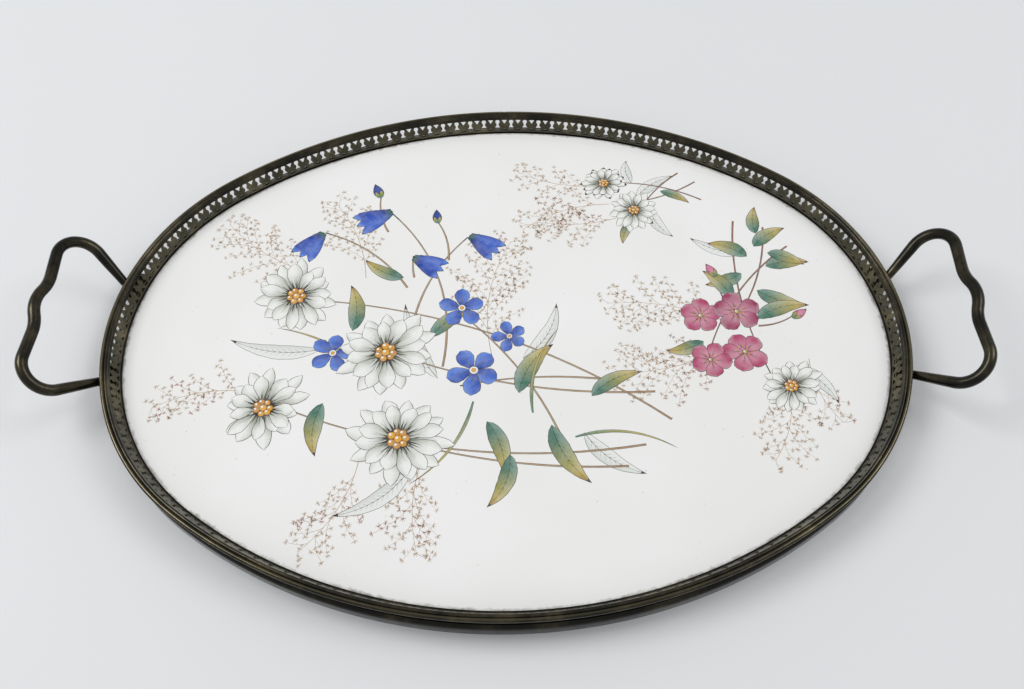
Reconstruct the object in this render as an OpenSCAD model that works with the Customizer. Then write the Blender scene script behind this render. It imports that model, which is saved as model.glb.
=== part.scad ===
// Oval gallery tray: a glazed earthenware plaque in a brass mount, with a pierced
// gallery, a double-bead rim and two bent-rod handles.
//
// Millimetres, +Z up. The origin is on the surface the tray stands on, under the
// middle of the plaque; the handles are at -X and +X.
//
// Sections are drawn as (w, z): w is the distance outwards from the sight edge,
// the line where the plaque goes under the mount, and z is the height above the
// surface the tray stands on. sweep_oval() carries a section round the tray.

/* [Plaque] */
// Half the length of the plaque that shows inside the mount
sight_half_length = 173; // [165:0.5:185]
// Half the width of the plaque that shows inside the mount
sight_half_width = 127.5; // [122:0.5:134]
// Thickness of the plaque
plaque_thick = 4.4; // [4:0.1:6]
// How far the plaque runs out under the lip of the mount
plaque_tuck = 1.9; // [1.2:0.1:2.2]
// Rounding of the edge of the plaque
plaque_edge_round = 1.2; // [0.4:0.1:1.4]

/* [Backing board] */
// Thickness of the board under the plaque
board_thick = 2.4; // [2:0.1:4]

/* [Base moulding] */
// Thickness of the brass sheet of the moulding
sheet = 0.8; // [0.5:0.05:1]
// Thickness of the lip that overlaps the plaque
lip_thick = 0.5; // [0.3:0.05:0.9]
// Distance from the sight edge to the outside of the moulding
moulding_reach = 6.7; // [6.4:0.1:8]
// Height of the plain foot of the moulding
foot_height = 5; // [4:0.1:5.4]
// Radius of the quarter round above the foot
quarter_round = 2.1; // [1.5:0.1:2.4]

/* [Board lugs] */
// Number of bent lugs that hold the board in
lug_count = 10; // [6:2:14]
// Width of one lug
lug_width = 8; // [5:0.5:12]
// Thickness of one lug
lug_thick = 0.6; // [0.4:0.1:0.9]
// How far a lug reaches in from the sight edge under the board
lug_reach = 6; // [3:0.5:10]
// Height of the leg of a lug behind the wall of the pocket
lug_leg = 3.4; // [2:0.2:4]
// Height of the lugs above the table
lug_lift = 0.6; // [0.3:0.1:1.5]

/* [Gallery] */
// Height of the gallery from the lip to its top edge
gallery_height = 6.9; // [6.8:0.1:9]
// Outward lean of the gallery in degrees
gallery_lean = 27; // [22:1:30]
// Thickness of the gallery strip
gallery_thick = 0.7; // [0.5:0.05:0.8]
// Distance from the sight edge to the foot of the gallery
gallery_set = 0.7; // [0.3:0.1:0.9]
// Wanted distance from one pierced motif to the next
motif_pitch = 7.1; // [6.8:0.1:9]

/* [Rim] */
// Diameter of the inner bead of the rim
inner_bead_d = 1.8; // [1.6:0.1:2.2]
// Diameter of the outer bead of the rim
outer_bead_d = 2; // [1.8:0.1:2.4]
// How far the two beads run into each other
bead_overlap = 0.25; // [0.1:0.05:0.4]
// Height of the middle of the beads above the top edge of the gallery
bead_rise = 0.8; // [0.6:0.05:0.9]
// How far the tops of the beads are worn down
bead_wear = 0.08; // [0.04:0.01:0.1]
// Depth of the channel that takes the top of the gallery
rim_channel = 0.9; // [0.5:0.1:1]
// Thickness of the cheeks and the web of that channel
rim_cheek = 0.5; // [0.35:0.05:0.6]
// Width of the soldered seam at the middle of the back
seam_width = 0.5; // [0.3:0.1:1]
// Depth of that seam
seam_depth = 0.35; // [0.2:0.05:0.5]

/* [Handles] */
// Diameter of the handle rod
rod_d = 5.2; // [4.6:0.1:5.6]
// Diameter of the rod where it enters its socket
rod_end_d = 4; // [3.4:0.1:4]
// Angle from the middle of a handle to each of its sockets, round the end arc
foot_angle = 13.4; // [12:0.2:15]
// How far the left handle sits towards the back, in degrees round the end arc
left_swing = 1.4; // [-2:0.2:2]
// How far the right handle sits towards the back, in degrees round the end arc
right_swing = 0.6; // [-2:0.2:2]
// Radius of the bend in front of a socket
bend_radius = 5; // [4:0.5:6]
// Upward tilt of the handle in degrees
handle_tilt = 42; // [30:1:45]
// Radius of the two rounded corners of the handle
corner_radius = 11.2; // [9:0.1:12]
// Distance from the middle of the handle to the middle of a corner
corner_side = 27.6; // [26:0.1:30]
// Reach of the corners from the bend, along the handle
corner_reach = 33.4; // [29:0.1:36]
// How far the two hollows of the grip stand back from its corners
hollow_depth = 0.6; // [0.2:0.1:1]
// How far the hollows stand back from the middle of the grip
swell_rise = 2.7; // [1.8:0.1:3]
// Distance from the middle of the handle to the middle of a hollow
hollow_side = 14; // [13.5:0.1:15]
// Radius of the swell in the middle of the grip
swell_radius = 17.5; // [14:0.5:18]

/* [Sockets] */
// Length of the plate of a socket along the gallery
plate_length = 13; // [9:0.5:16]
// Thickness of the plate of a socket
plate_thick = 1; // [0.8:0.1:1.1]
// Gap above and below the plate of a socket
plate_margin = 0.3; // [0.2:0.05:0.6]
// Wall of the tube that takes the rod
socket_wall = 0.8; // [0.6:0.1:0.8]
// Length of the tube in front of the plate
tube_length = 2.1; // [1.6:0.1:3]

/* [Clearances] */
// Gap between the edge of the plaque or board and the wall of the pocket
pocket_gap = 0.2; // [0.1:0.05:0.3]
// Gap between the gallery and the cheeks of the rim
channel_gap = 0.05; // [0.02:0.01:0.1]
// Gap between the rod and the bore of its socket
bore_gap = 0.05; // [0.02:0.01:0.08]
// Gap between the end of the rod and the gallery
rod_end_gap = 0.3; // [0.2:0.05:0.5]

/* [Hidden] */
sweep_fn = 240;
round_fn = 48;
// Most that the rod turns in the bend in front of a socket, in degrees.
bend_allowance = 48;
// How much thicker than the rod its joining balls are.
ball_extra = 0.04;
// How far an end arc of a sweep runs into the side arcs.
tongue_length = 0.6;
// How much smaller the section of an end arc is, all round.
tongue_trim = 0.02;
// Width of the swept ring of the plaque and of the board.
slab_ring = 60;
// How far the middle of those slabs runs into the ring.
slab_overlap = 0.5;

// The oval is a four-centre oval on 3-4-5 triangles: the arcs meet on the lines that
// run through their centres, and those lines rise 4 for every 3 across.
oval_unit = (sight_half_length - sight_half_width) / 2;
end_centre = 3 * oval_unit;
side_centre = 4 * oval_unit;
end_radius = sight_half_width - oval_unit;
side_radius = end_radius + 5 * oval_unit;
end_half = atan2(4, 3);
side_half = 90 - end_half;

// Heights above the table.
board_z = lug_lift + lug_thick;
plaque_z = board_z + board_thick;
plaque_top = plaque_z + plaque_thick;
lip_top = plaque_top + lip_thick;
gallery_top = lip_top + gallery_height;
rim_foot = gallery_top - rim_channel;
bead_z = gallery_top + bead_rise;
foot_z = (lip_top + rim_foot) / 2;

// Distances outwards from the sight edge.
pocket_w = plaque_tuck + pocket_gap;
wall_w = pocket_w + sheet;
round_w = moulding_reach - quarter_round;
gallery_slope = tan(gallery_lean);
gallery_across = gallery_thick / cos(gallery_lean);
gallery_mid = gallery_set + gallery_across / 2;
inner_bead_w = gallery_mid + gallery_height * gallery_slope;
outer_bead_w = inner_bead_w + (inner_bead_d + outer_bead_d) / 2 - bead_overlap;
bore_d = rod_end_d + 2 * bore_gap;
rod_end_w = gallery_out(foot_z + bore_d / 2) + rod_end_gap;
plate_across = plate_thick / cos(gallery_lean);
socket_out = gallery_out(foot_z) + plate_across + tube_length;
bend_out = socket_out + bend_radius * tan(bend_allowance / 2);

// The handle in its own plane: u runs outwards from the bend, v along the grip.
foot_v = (end_radius + bend_out) * sin(foot_angle);
foot_x = end_centre + (end_radius + bend_out) * cos(foot_angle);
corner_u = corner_reach - corner_radius;
corner_away = sqrt(corner_u^2 + (corner_side - foot_v)^2);
leg_length = sqrt(corner_away^2 - corner_radius^2);
leg_heading = atan2(corner_side - foot_v, corner_u) + asin(corner_radius / corner_away);
hollow_u = corner_reach - hollow_depth;
swell_half = 2 * atan(swell_rise / hollow_side);
hollow_radius = hollow_side / sin(swell_half) - swell_radius;
swell_u = hollow_u + swell_rise - swell_radius;
round_sum = hollow_radius + corner_radius;
centre_u_gap = round_sum - hollow_depth;
centre_v_gap = corner_side - hollow_side;
link_length = sqrt(centre_u_gap^2 + centre_v_gap^2 - round_sum^2);
link_turn = atan2(centre_v_gap, centre_u_gap) - atan2(link_length, round_sum);

// Directions at the bend in front of a socket: out of the socket, and up the leg.
out_way = [cos(foot_angle), sin(foot_angle), 0];
leg_way = [
    cos(leg_heading) * cos(handle_tilt), sin(leg_heading), cos(leg_heading) * sin(handle_tilt),
];
bend_turn = acos(out_way * leg_way);
bend_tangent = bend_radius * tan(bend_turn / 2);

brass = [0.42, 0.40, 0.31];
glaze = [0.93, 0.93, 0.91];
timber = [0.62, 0.48, 0.32];

// Distance from the sight edge to the outer face of the gallery at height z.
function gallery_out(z) = gallery_set + gallery_across + (z - lip_top) * gallery_slope;

function unit(v) = v / norm(v);

// Sweeps a section (w, z) all the way round the oval. The end arcs run a little way
// into the side arcs; their section, which reads $trim, is drawn a hair smaller.
module sweep_oval() {
    tongue = tongue_length / end_radius * 180 / PI;
    for (turn = [0, 180]) rotate([0, 0, turn]) {
        translate([end_centre, 0, 0])
            rotate_extrude(angle = 2 * (end_half + tongue), start = -end_half - tongue, $fn = sweep_fn)
                translate([end_radius, 0]) let ($trim = tongue_trim) children();
        translate([0, -side_centre, 0])
            rotate_extrude(angle = 2 * side_half, start = end_half, $fn = sweep_fn)
                translate([side_radius, 0]) let ($trim = 0) children();
    }
}

// Sweeps a section (w, z) over a short length, centred at a share of the way round.
module sweep_patch(share, length) {
    end_length = 2 * end_half / 180 * PI * end_radius;
    side_length = 2 * side_half / 180 * PI * side_radius;
    way = share * 2 * (end_length + side_length);
    half_way = way % (end_length + side_length);
    side_share = (half_way - end_length) / side_length;
    rotate([0, 0, way < end_length + side_length ? 0 : 180])
        if (half_way < end_length)
            end_patch((half_way / end_length * 2 - 1) * end_half, length) children();
        else
            translate([0, -side_centre, 0])
                arc_patch(side_radius, end_half + side_share * 2 * side_half, length) children();
}

module end_patch(angle, length) {
    translate([end_centre, 0, 0]) arc_patch(end_radius, angle, length) children();
}

module arc_patch(radius, angle, length) {
    turn = length / radius * 180 / PI;
    rotate([0, 0, angle - turn / 2])
        rotate_extrude(angle = turn, $fn = sweep_fn) translate([radius, 0]) children();
}

// The flat middle of a slab, which overlaps the ring that sweep_oval() carries round it.
module slab_core(z, thick) {
    length = 2 * (sight_half_length - slab_ring + slab_overlap);
    width = 2 * (sight_half_width - slab_ring + slab_overlap);
    translate([-length / 2, -width / 2, z]) cube([length, width, thick]);
}

module plaque() {
    edge_middle = plaque_tuck - plaque_edge_round;
    color(glaze) {
        slab_core(plaque_z, plaque_thick);
        sweep_oval() translate([-slab_ring - $trim, plaque_z])
            square([slab_ring + edge_middle, plaque_thick]);
        sweep_oval() translate([-$trim, plaque_z + plaque_edge_round])
            square([plaque_tuck, plaque_thick - 2 * plaque_edge_round]);
        for (z = [plaque_z + plaque_edge_round, plaque_top - plaque_edge_round])
            sweep_oval() translate([edge_middle, z]) circle(plaque_edge_round - $trim, $fn = round_fn);
    }
}

module backing_board() {
    color(timber) {
        slab_core(board_z, board_thick);
        sweep_oval() translate([-slab_ring - $trim, board_z])
            square([slab_ring + plaque_tuck, board_thick]);
    }
}

// The moulding is bent from sheet: a plain foot, a quarter round, a sloping
// shoulder, a lip over the plaque and a wall round its pocket.
module base_moulding() {
    color(brass) sweep_oval() {
        translate([$trim, plaque_top]) square([wall_w - 2 * $trim, lip_thick]);
        translate([pocket_w + $trim, board_z]) square([sheet - 2 * $trim, lip_top - board_z]);
        difference() {
            moulding_face($trim, 0);
            moulding_face(sheet - $trim, -sheet);
        }
    }
}

// The outside of the moulding down to a foot, or its inside when inset by the sheet.
module moulding_face(inset, foot) {
    polygon([
        [pocket_w + inset, foot],
        [moulding_reach - inset, foot],
        [moulding_reach - inset, foot_height],
        [round_w, foot_height],
        [round_w, foot_height + quarter_round - inset],
        [wall_w, lip_top - 1.4 * inset],
        [pocket_w + inset, lip_top - 1.4 * inset],
    ]);
    translate([round_w, foot_height]) circle(quarter_round - inset, $fn = round_fn);
}

module board_lugs() {
    color(brass) for (k = [0 : lug_count - 1]) sweep_patch((k + 0.5) / lug_count, lug_width) {
        translate([-lug_reach, lug_lift]) square([lug_reach + wall_w + lug_thick, lug_thick]);
        translate([wall_w, lug_lift]) square([lug_thick, lug_leg]);
    }
}

// The leaning wall of the gallery, grown by a gap on both faces.
module gallery_section(gap, height) {
    lean_out = height * gallery_slope;
    polygon([
        [gallery_set - gap, lip_top],
        [gallery_set + gallery_across + gap, lip_top],
        [gallery_set + gallery_across + gap + lean_out, lip_top + height],
        [gallery_set - gap + lean_out, lip_top + height],
    ]);
}

module pierced_gallery() {
    end_count = round(2 * end_half / 180 * PI * (end_radius + gallery_mid) / motif_pitch);
    side_count = round(2 * side_half / 180 * PI * (side_radius + gallery_mid) / motif_pitch);
    color(brass) difference() {
        sweep_oval() gallery_section(-$trim, gallery_height);
        for (turn = [0, 180]) rotate([0, 0, turn]) {
            translate([end_centre, 0, 0])
                pierce_arc(end_radius + gallery_mid, -end_half, end_half, end_count);
            translate([0, -side_centre, 0])
                pierce_arc(side_radius + gallery_mid, end_half, end_half + 2 * side_half, side_count);
        }
    }
}

// Cutters square to the leaning wall, spread evenly over one arc.
module pierce_arc(radius, from, to, count) {
    step = (to - from) / count;
    for (k = [0 : count - 1])
        rotate([0, 0, from + (k + 0.5) * step]) translate([radius, 0, lip_top])
            rotate([0, gallery_lean, 0]) rotate([90, 0, 90])
                linear_extrude(4 * gallery_thick, center = true)
                    motif(step / 180 * PI * radius, (rim_foot - lip_top) / cos(gallery_lean));
}

// One motif, half a pitch to each side of x = 0, with y up the slope of the wall.
module motif(pitch, slope) {
    keyhole_half = [
        [0.20 * pitch, 0.32 * slope], [0.07 * pitch, 0.50 * slope], [0.08 * pitch, 0.62 * slope],
        [0.17 * pitch, 0.76 * slope], [0.10 * pitch, 0.93 * slope],
    ];
    polygon([
        for (p = keyhole_half) p,
        for (k = [len(keyhole_half) - 1 : -1 : 0]) [-keyhole_half[k][0], keyhole_half[k][1]],
    ]);
    half_moon(0.18 * pitch, 0.13 * slope, 0.25 * slope);
    triangle(0.5 * pitch, 0.23 * pitch, 0.97 * slope, 0.62 * slope);
    triangle(0.5 * pitch, 0.22 * pitch, 0.05 * slope, 0.30 * slope);
}

module half_moon(half_width, foot, top) {
    polygon([[-half_width, top], [-0.6 * half_width, foot], [0.6 * half_width, foot], [half_width, top]]);
}

module triangle(middle, half_width, base, tip) {
    polygon([[middle - half_width, base], [middle + half_width, base], [middle, tip]]);
}

module rim() {
    seam_y = side_radius - side_centre;
    color(brass) difference() {
        sweep_oval() difference() {
            union() {
                translate([inner_bead_w, bead_z]) bead(inner_bead_d);
                translate([outer_bead_w, bead_z]) bead(outer_bead_d);
                intersection() {
                    gallery_section(rim_cheek - $trim, gallery_height + rim_cheek - $trim);
                    translate([0, rim_foot]) square(gallery_top);
                }
            }
            gallery_section(channel_gap + $trim, gallery_height);
        }
        translate([-seam_width / 2, seam_y, bead_z + inner_bead_d / 2 - bead_wear - seam_depth])
            cube([seam_width, 2 * outer_bead_w, inner_bead_d]);
    }
}

// The section of one bead of the rim, with its top worn flat.
module bead(d) {
    intersection() {
        circle(d / 2 - $trim, $fn = round_fn);
        translate([-d / 2, -d / 2]) square([d, d - bead_wear]);
    }
}

// One handle, at the +X end.
module handle() {
    color(brass) {
        translate([foot_x, 0, foot_z]) rotate([0, -handle_tilt, 0]) {
            rod_arc([swell_u, 0], swell_radius, -swell_half, swell_half);
            for (side = [-1, 1]) scale([1, side, 1]) handle_half();
        }
        for (side = [-1, 1]) scale([1, side, 1]) handle_foot();
    }
}

// From the end of the swell to the foot of the leg, in the plane of the handle.
module handle_half() {
    hollow_centre = [hollow_u + hollow_radius, hollow_side];
    corner_centre = [corner_u, corner_side];
    link_start = hollow_centre - hollow_radius * [cos(link_turn), -sin(link_turn)];
    link_end = corner_centre + corner_radius * [cos(link_turn), -sin(link_turn)];
    corner_end = 90 + leg_heading;
    leg_start = corner_centre + corner_radius * [cos(corner_end), sin(corner_end)];
    leg_end = leg_start - (leg_length - bend_tangent) * [cos(leg_heading), sin(leg_heading)];
    swell_end = [swell_u, 0] + swell_radius * [cos(swell_half), sin(swell_half)];
    rod_arc(hollow_centre, hollow_radius, 180 - link_turn, 180 + swell_half);
    rod_link(link_start, link_end, rod_d, rod_d);
    rod_arc(corner_centre, corner_radius, -link_turn, corner_end);
    rod_link(leg_start, leg_end, rod_d, rod_end_d);
    rod_ball(swell_end, 90 + swell_half, rod_d);
    rod_ball(link_start, 90 - link_turn, rod_d);
    rod_ball(link_end, 90 - link_turn, rod_d);
    rod_ball(leg_start, leg_heading, rod_d);
    rod_ball(leg_end, leg_heading, rod_end_d);
}

// The bend in front of the socket and the straight end that the socket holds.
module handle_foot() {
    corner = [foot_x, foot_v, foot_z];
    centre = corner + unit(leg_way - out_way) * bend_radius / cos(bend_turn / 2);
    start = corner - bend_tangent * out_way;
    x_way = unit(start - centre);
    z_way = unit(cross(out_way, leg_way));
    multmatrix([
        [x_way[0], out_way[0], z_way[0], centre[0]],
        [x_way[1], out_way[1], z_way[1], centre[1]],
        [x_way[2], out_way[2], z_way[2], centre[2]],
        [0, 0, 0, 1],
    ]) rotate_extrude(angle = bend_turn, $fn = sweep_fn)
        translate([bend_radius, 0]) circle(d = rod_end_d, $fn = round_fn);
    translate(start) sphere(d = rod_end_d + ball_extra, $fn = round_fn);
    at_socket(foot_angle) translate([0, 0, rod_end_w])
        cylinder(h = bend_out - bend_tangent - rod_end_w, d = rod_end_d, $fn = round_fn);
}

// Z runs out of a socket from the sight edge; the angle is from the long axis.
module at_socket(angle) {
    translate([end_centre, 0, foot_z]) rotate([0, 0, angle]) translate([end_radius, 0, 0])
        rotate([0, 90, 0]) children();
}

// Turns one end of the tray's fittings round the centre of its end arc.
module swing_end(angle) {
    translate([end_centre, 0, 0]) rotate([0, 0, angle]) translate([-end_centre, 0, 0]) children();
}

module rod_arc(centre, radius, from, to) {
    translate(centre) rotate([0, 0, from]) rotate_extrude(angle = to - from, $fn = sweep_fn)
        translate([radius, 0]) circle(d = rod_d, $fn = round_fn);
}

module rod_link(start, end, start_d, end_d) {
    way = end - start;
    translate(start) rotate([0, 0, atan2(way[1], way[0])]) rotate([0, 90, 0])
        cylinder(h = norm(way), d1 = start_d, d2 = end_d, $fn = round_fn);
}

// A ball a hair thicker than the rod, which joins two lengths of it. Its poles are
// inside them, because its axis has their heading.
module rod_ball(place, heading, d) {
    translate(place) rotate([0, 90, heading]) sphere(d = d + ball_extra, $fn = round_fn);
}

// One socket at the +X end, at an angle from the long axis: a plate shaped to the
// leaning gallery, and a tube that takes the end of the rod.
module socket(angle) {
    plate_foot = lip_top + plate_margin;
    plate_top = rim_foot - plate_margin;
    color(brass) difference() {
        union() {
            end_patch(angle, plate_length) polygon([
                [gallery_out(plate_foot) - gallery_thick / 2, plate_foot],
                [gallery_out(plate_foot) + plate_across, plate_foot],
                [gallery_out(plate_top) + plate_across, plate_top],
                [gallery_out(plate_top) - gallery_thick / 2, plate_top],
            ]);
            at_socket(angle) translate([0, 0, gallery_mid])
                cylinder(h = socket_out - gallery_mid, d = bore_d + 2 * socket_wall, $fn = round_fn);
        }
        end_patch(angle, 2 * plate_length) polygon([
            [-1, lip_top - 1],
            [gallery_out(lip_top - 1), lip_top - 1],
            [gallery_out(gallery_top), gallery_top],
            [-1, gallery_top],
        ]);
        at_socket(angle) translate([0, 0, rod_end_w - rod_end_gap / 2])
            cylinder(h = socket_out, d = bore_d, $fn = round_fn);
    }
}

plaque();
backing_board();
base_moulding();
board_lugs();
pierced_gallery();
rim();
rotate([0, 0, 180]) swing_end(-left_swing) handle();  // left_handle
swing_end(right_swing) handle();  // right_handle
rotate([0, 0, 180]) socket(foot_angle - left_swing);  // left_front_socket
rotate([0, 0, 180]) socket(-foot_angle - left_swing);  // left_back_socket
socket(right_swing - foot_angle);  // right_front_socket
socket(right_swing + foot_angle);  // right_back_socket
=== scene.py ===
import functools
import math
import random

import bmesh
import bpy
from bpy.props import FloatProperty, FloatVectorProperty, IntProperty, PointerProperty
from mathutils import Matrix, Vector, noise


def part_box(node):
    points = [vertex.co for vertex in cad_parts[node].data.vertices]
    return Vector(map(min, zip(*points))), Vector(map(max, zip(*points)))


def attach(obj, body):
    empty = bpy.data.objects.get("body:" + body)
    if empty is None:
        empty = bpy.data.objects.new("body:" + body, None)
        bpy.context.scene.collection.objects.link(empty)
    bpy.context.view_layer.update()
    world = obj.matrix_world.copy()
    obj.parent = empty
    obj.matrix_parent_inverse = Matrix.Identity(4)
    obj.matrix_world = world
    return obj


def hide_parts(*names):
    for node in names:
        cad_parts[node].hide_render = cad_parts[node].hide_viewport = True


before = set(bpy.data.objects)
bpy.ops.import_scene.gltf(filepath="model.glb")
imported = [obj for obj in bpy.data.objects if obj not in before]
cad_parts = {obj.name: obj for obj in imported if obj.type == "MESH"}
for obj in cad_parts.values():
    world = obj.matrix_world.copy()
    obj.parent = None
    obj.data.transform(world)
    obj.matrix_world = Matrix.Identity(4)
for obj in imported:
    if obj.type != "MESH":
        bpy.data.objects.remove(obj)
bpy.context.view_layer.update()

bl_info = {
    "name": "Oval Gallery Tray",
    "version": (1, 0, 0),
    "blender": (4, 5, 0),
    "location": "View3D > Sidebar > Gallery Tray",
    "description": "Dresses the oval gallery tray: glazed plaque, floral print, brass mount and stage",
    "category": "Add Mesh",
}

MM = 0.001
WELD = 0.01 * MM  # vertices nearer than this are one


@functools.cache
def top_of(node):
    """The height of the top of a CAD node."""
    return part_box(node)[1].z


@functools.cache
def foot_of(node):
    """The height of the foot of a CAD node."""
    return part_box(node)[0].z


# ---- sizes and colours


def length(name, description, default, low=0.1):
    """A length property; its numbers are in millimetres."""
    return FloatProperty(name=name, description=description, default=default * MM, min=low * MM, max=0.5,
                         unit="LENGTH", precision=5)


def angle(name, description, default):
    """An angle property, in degrees."""
    return FloatProperty(name=name, description=description, default=math.radians(default), unit="ROTATION")


def colour(name, description, default):
    """A colour property."""
    return FloatVectorProperty(name=name, description=description, default=default, size=3, min=0, max=1,
                               subtype="COLOR")


class TraySizes(bpy.types.PropertyGroup):
    """Sizes of the pieces, beside those that come from the frame."""

    moulding_reach: length("Moulding reach", "From the sight edge to the outside of the moulding", 6.7)
    quarter_round: length("Quarter round", "Radius of the round above the foot of the moulding", 2.1)
    foot_height: length("Foot height", "Height of the plain foot of the moulding", 5.0)
    sheet: length("Sheet", "Thickness of the brass sheet", 0.8)
    plaque_tuck: length("Plaque tuck", "How far the plaque runs out under the lip", 1.9)
    plaque_round: length("Plaque round", "Rounding of the edges of the plaque", 1.2)
    pocket_gap: length("Pocket gap", "Gap between the plaque and the wall of its pocket", 0.2)
    soft_edge: length("Soft edge", "Rounding of the edges of the sheet", 0.18)
    gallery_set: length("Gallery set", "From the sight edge to the foot of the gallery", 0.7)
    gallery_thick: length("Gallery thickness", "Thickness of the gallery strip", 0.7)
    gallery_lean: angle("Gallery lean", "Outward lean of the gallery", 27.0)
    motif_pitch: length("Motif pitch", "Wanted distance from one pierced motif to the next", 7.1)
    rim_channel: length("Rim channel", "How far the rim reaches down over the gallery", 0.9)
    rim_cheek: length("Rim cheek", "Thickness of the cheeks of the rim", 0.5)
    inner_bead: length("Inner bead", "Diameter of the inner bead of the rim", 1.8)
    outer_bead: length("Outer bead", "Diameter of the outer bead of the rim", 2.0)
    bead_overlap: length("Bead overlap", "How far the two beads run into each other", 0.25)
    bead_rise: length("Bead rise", "Middle of the beads above the gallery", 0.8)
    rod: length("Rod", "Diameter of the handle rod", 5.2)
    rod_end: length("Rod end", "Diameter of the rod in its socket", 4.0)
    foot_angle: angle("Foot angle", "From the middle of a handle to its sockets", 13.4)
    left_swing: angle("Left swing", "How far the left handle sits towards the back", 1.4)
    right_swing: angle("Right swing", "How far the right handle sits towards the back", 0.6)
    bend_radius: length("Bend radius", "Radius of the bend in front of a socket", 5.0)
    bend_room: angle("Bend room", "Half turn that the bend in front of a socket has room for", 24.0)
    handle_tilt: angle("Handle tilt", "Upward tilt of the handles", 42.0)
    corner_radius: length("Corner radius", "Radius of the corners of a handle", 11.2)
    corner_side: length("Corner side", "From the middle of a handle to a corner", 27.6)
    corner_reach: length("Corner reach", "Reach of the corners from the bend", 33.4)
    hollow_depth: length("Hollow depth", "How far the hollows stand back from the corners", 0.6)
    swell_rise: length("Swell rise", "How far the hollows stand back from the middle", 2.7)
    hollow_side: length("Hollow side", "From the middle of a handle to a hollow", 14.0)
    swell_radius: length("Swell radius", "Radius of the swell of the grip", 17.5)
    plate_thick: length("Plate thickness", "Thickness of the plate of a socket", 1.0)
    tube_length: length("Tube length", "Length of the tube of a socket", 2.1)
    rod_end_gap: length("Rod end gap", "Gap between the end of the rod and the gallery", 0.3)
    bore_gap: length("Bore gap", "Gap between the rod and its socket", 0.05)
    line: length("Pen line", "Width of the outline of the print", 0.23)
    print_lift: length("Print lift", "Height of the print above the glaze", 0.01, low=0.001)
    seed: IntProperty(name="Seed", description="Seed of the hand of the painter", default=11, min=0)


class TrayColours(bpy.types.PropertyGroup):
    """Colours of the finishes."""

    glaze: colour("Glaze", "White glaze of the plaque", (0.83, 0.83, 0.815))
    tarnish: colour("Tarnish", "Dark skin of the brass", (0.036, 0.033, 0.020))
    bronze: colour("Bronze", "Middle tone of the brass", (0.084, 0.077, 0.050))
    # Also the colour of the painted highlight along the rim's crest, besides real wear.
    rubbed_and_highlight: colour("Rubbed brass", "Brass where hands rub it", (0.27, 0.225, 0.125))
    grime: colour("Grime", "Dirt along the lip", (0.10, 0.085, 0.06))
    board: colour("Board", "Wood of the backing board", (0.36, 0.22, 0.115))
    floor: colour("Floor", "Pale floor", (0.72, 0.73, 0.74))
    ink: colour("Ink", "Outline of the print", (0.040, 0.026, 0.015))
    sepia: colour("Sepia", "Grasses of the print", (0.42, 0.26, 0.13))


def sizes():
    return bpy.context.scene.tray_sizes


def colours():
    return bpy.context.scene.tray_colours


# ---- meshes and objects


def verts_in(items):
    """The vertices among some parts of a mesh."""
    return [item for item in items if isinstance(item, bmesh.types.BMVert)]


def edges_in(items):
    """The edges among some parts of a mesh."""
    return [item for item in items if isinstance(item, bmesh.types.BMEdge)]


def turn_on(bm, ends, centre, axis, turn, steps):
    """Spins an open end about an axis and returns the new end."""
    return bmesh.ops.spin(bm, geom=ends, cent=centre, axis=axis, angle=turn, steps=steps,
                          use_duplicate=False)["geom_last"]


def close_up(bm):
    """Welds a shape, fills its open ends and turns its faces outwards."""
    bmesh.ops.remove_doubles(bm, verts=bm.verts, dist=WELD)
    bmesh.ops.holes_fill(bm, edges=[edge for edge in bm.edges if edge.is_boundary], sides=0)
    bmesh.ops.recalc_face_normals(bm, faces=bm.faces)


def sharpen(bm, limit=32):
    """Smooth faces, with hard edges where faces meet at more than the limit, in degrees."""
    for face in bm.faces:
        face.smooth = True
    for edge in bm.edges:
        edge.smooth = edge.is_manifold and edge.calc_face_angle(0) < math.radians(limit)


def mesh_of(bm, name):
    """Ends a bmesh and returns its mesh."""
    mesh = bpy.data.meshes.new(name)
    bm.to_mesh(mesh)
    bm.free()
    return mesh


def hand_over(bm, name, material, slot, *nodes):
    """Makes a piece of the mesh, gives it its finish and lets it stand for the CAD nodes."""
    piece = bpy.data.objects.new(name, mesh_of(bm, name))
    piece.data.materials.append(material)
    bpy.context.scene.collection.objects.link(piece)
    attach(piece, "root")
    if nodes:
        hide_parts(*nodes)


def dress(node, material):
    """Gives a CAD node its finish."""
    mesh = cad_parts[node].data
    mesh.materials.clear()
    mesh.materials.append(material)


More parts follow.
